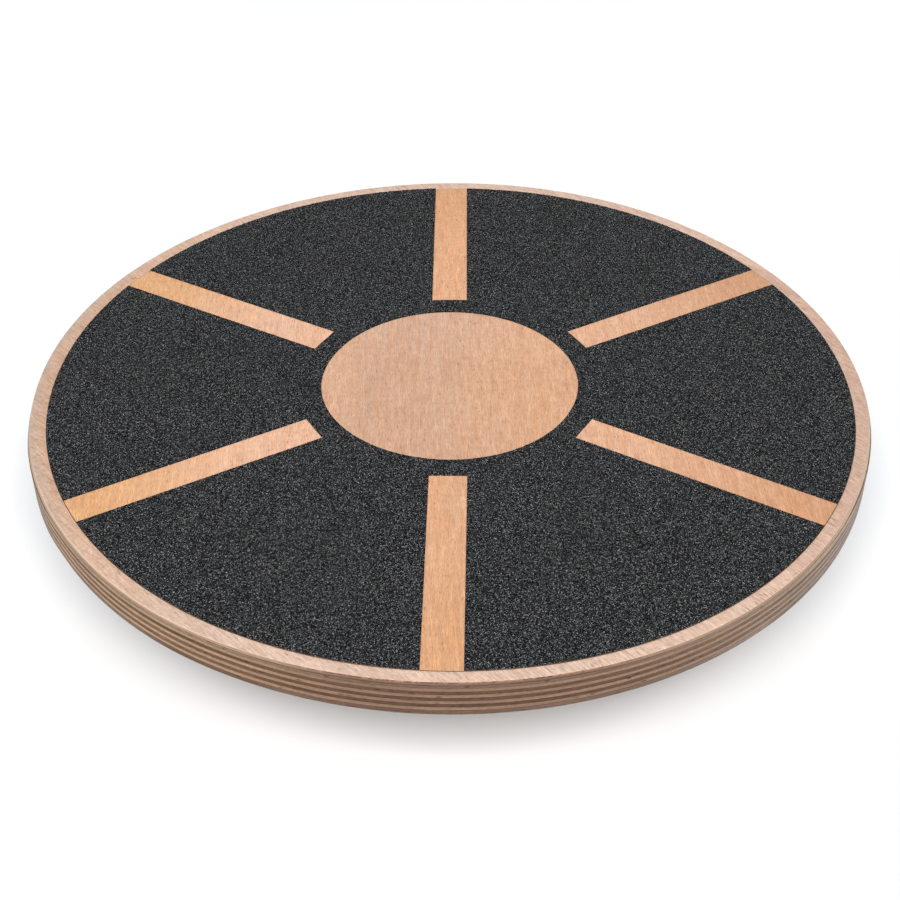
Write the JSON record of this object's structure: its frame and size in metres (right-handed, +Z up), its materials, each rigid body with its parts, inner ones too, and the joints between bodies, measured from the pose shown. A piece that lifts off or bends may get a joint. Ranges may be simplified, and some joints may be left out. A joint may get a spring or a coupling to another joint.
{
  "type": "wobble board",
  "caption": "Round laminated-wood balance deck with a black grit top and bar-shaped wood windows, on a plastic half-round rocker base with a rubber pad.",
  "frame": {"origin": "the lowest point: the middle of the flat under the dome's rubber pad, on the deck's axis", "axes": "+Z up along the deck's axis, -Y towards the front of the picture, +X to its right"},
  "size_m": [0.395, 0.395, 0.0782],
  "materials": {
    "black_grit": "black mineral grit bonded on a film",
    "inlay_veneer": "satin lacquered veneer",
    "face_veneer": "satin lacquered veneer",
    "grey_ply": "sanded end grain",
    "light_ply": "sanded edge",
    "dark_ply": "sanded end grain",
    "dome_plastic": "fine moulded texture",
    "pad_rubber": "matt rubber",
    "screw_steel": "zinc plated"
  },
  "bodies": {
    "root": {"grip_sheet": "black_grit", "pattern_veneer_disc": "inlay_veneer", "rim_face_veneer": "face_veneer", "core_ply_1": "grey_ply", "core_ply_2": "light_ply", "core_ply_3": "dark_ply", "core_ply_4": "light_ply", "core_ply_5": "dark_ply", "core_ply_6": "light_ply", "core_ply_7": "dark_ply", "core_ply_8": "light_ply", "core_ply_9": "light_ply", "bottom_face_veneer": "face_veneer", "dome_shell": "dome_plastic", "dome_pad": "pad_rubber", "dome_screw_1": "screw_steel", "dome_screw_2": "screw_steel", "dome_screw_3": "screw_steel", "dome_screw_4": "screw_steel", "dome_screw_5": "screw_steel", "dome_screw_6": "screw_steel"}
  },
  "joints": []
}
